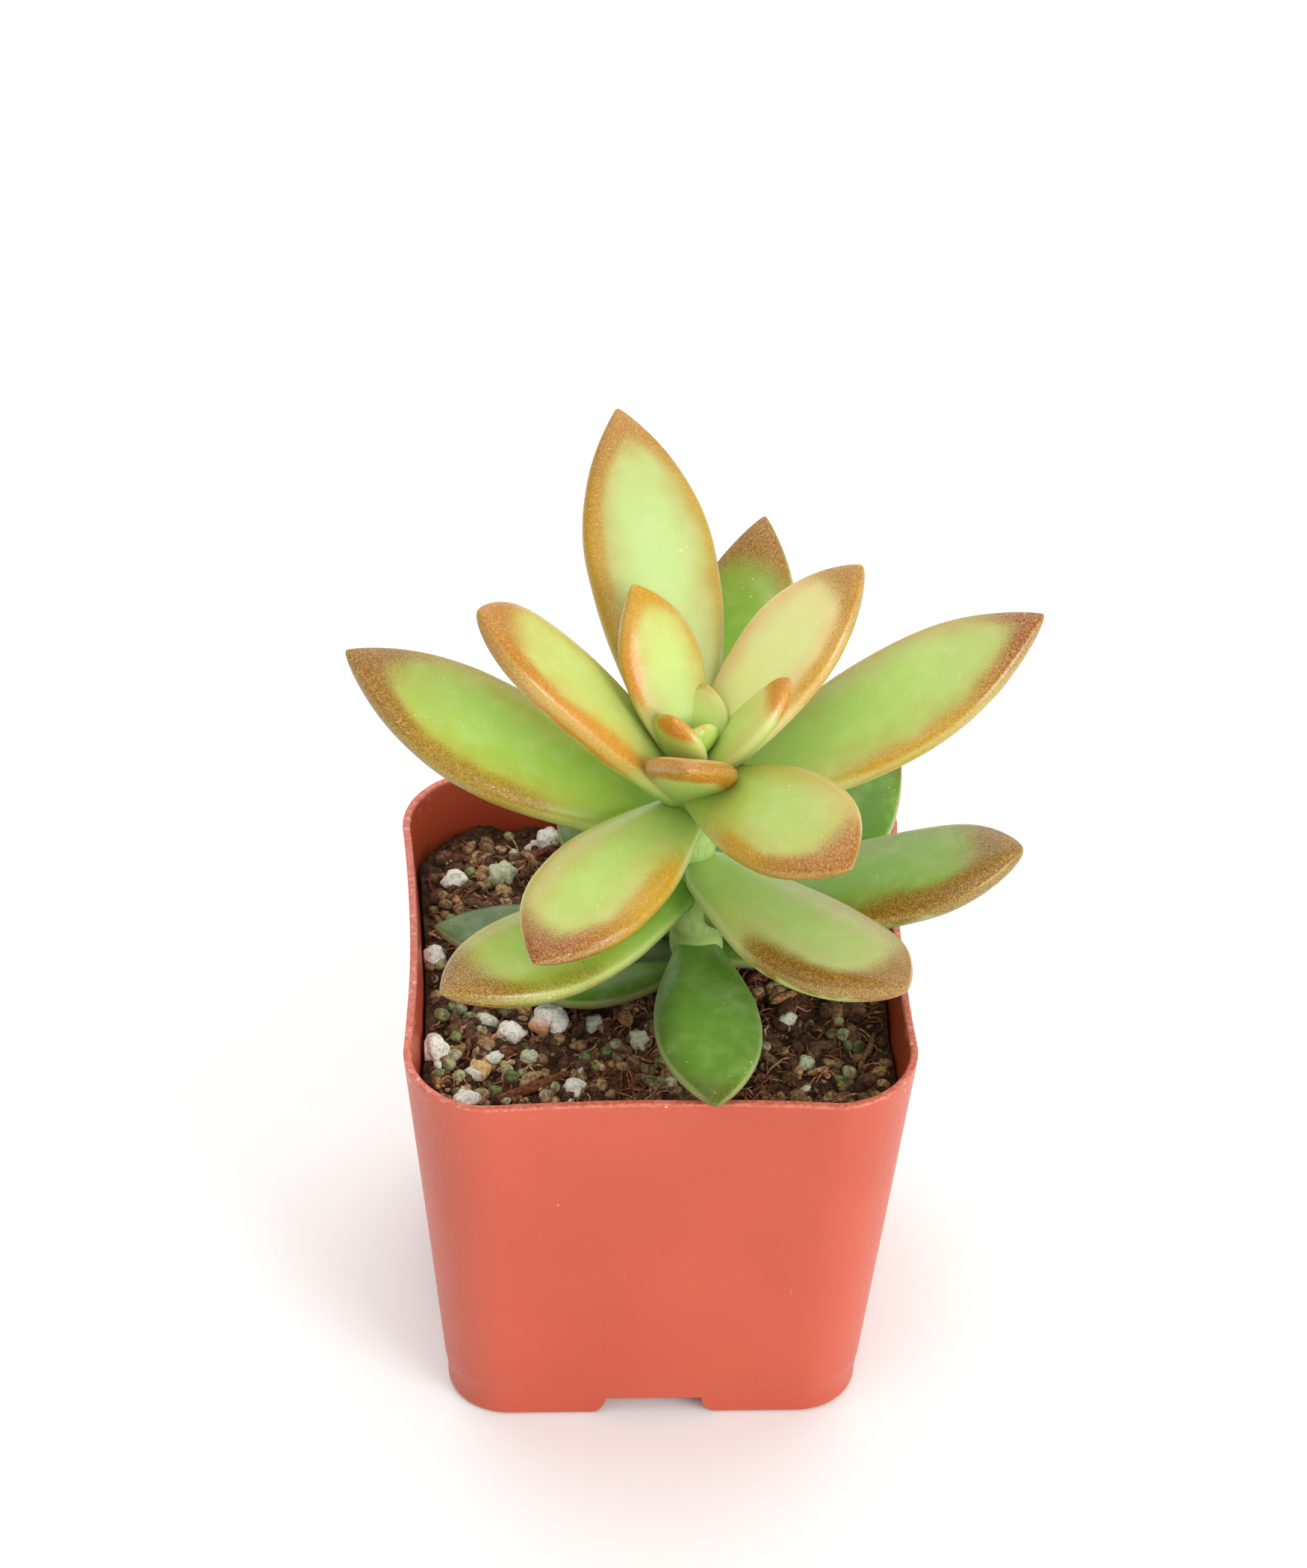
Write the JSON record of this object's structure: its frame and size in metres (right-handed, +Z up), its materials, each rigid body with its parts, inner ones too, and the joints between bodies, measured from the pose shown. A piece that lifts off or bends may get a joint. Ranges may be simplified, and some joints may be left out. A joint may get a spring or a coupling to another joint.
{
  "type": "potted succulent",
  "caption": "Small rosette succulent with thick pointed leaves edged in orange, growing in soil in a square tapered plastic nursery pot.",
  "frame": {"origin": "middle of the flat pad under the pot, on the surface it stands on", "axes": "+Z up; -Y towards the pot's front, over whose rim one leaf leans; +X to the right seen from the front"},
  "size_m": [0.0769, 0.0624, 0.1039],
  "materials": {
    "pot_plastic": "satin",
    "potting_mix": "matte",
    "stem_skin": "satin",
    "leaf_blushed": "satin",
    "leaf_green": "satin"
  },
  "bodies": {
    "root": {"nursery_pot": "pot_plastic", "potting_soil": "potting_mix", "stem_with_crown": "stem_skin", "leaf_inner_back": "leaf_blushed", "leaf_inner_right": "leaf_blushed", "leaf_inner_front": "leaf_blushed", "leaf_upper_back_right": "leaf_blushed", "leaf_upper_front_right": "leaf_blushed", "leaf_upper_left": "leaf_blushed", "leaf_upper_back": "leaf_blushed", "leaf_upper_front_left": "leaf_blushed", "leaf_upper_right": "leaf_blushed", "leaf_middle_left": "leaf_blushed", "leaf_middle_back": "leaf_blushed", "leaf_middle_front_right": "leaf_blushed", "leaf_middle_front_left": "leaf_blushed", "leaf_lower_right": "leaf_blushed", "leaf_lower_back": "leaf_green", "leaf_lower_back_right": "leaf_green", "leaf_lower_front": "leaf_green", "leaf_lower_back_left": "leaf_green", "leaf_base_left": "leaf_green", "leaf_base_front_left": "leaf_green", "leaf_base_right": "leaf_green", "leaf_base_back": "leaf_green"}
  },
  "joints": []
}
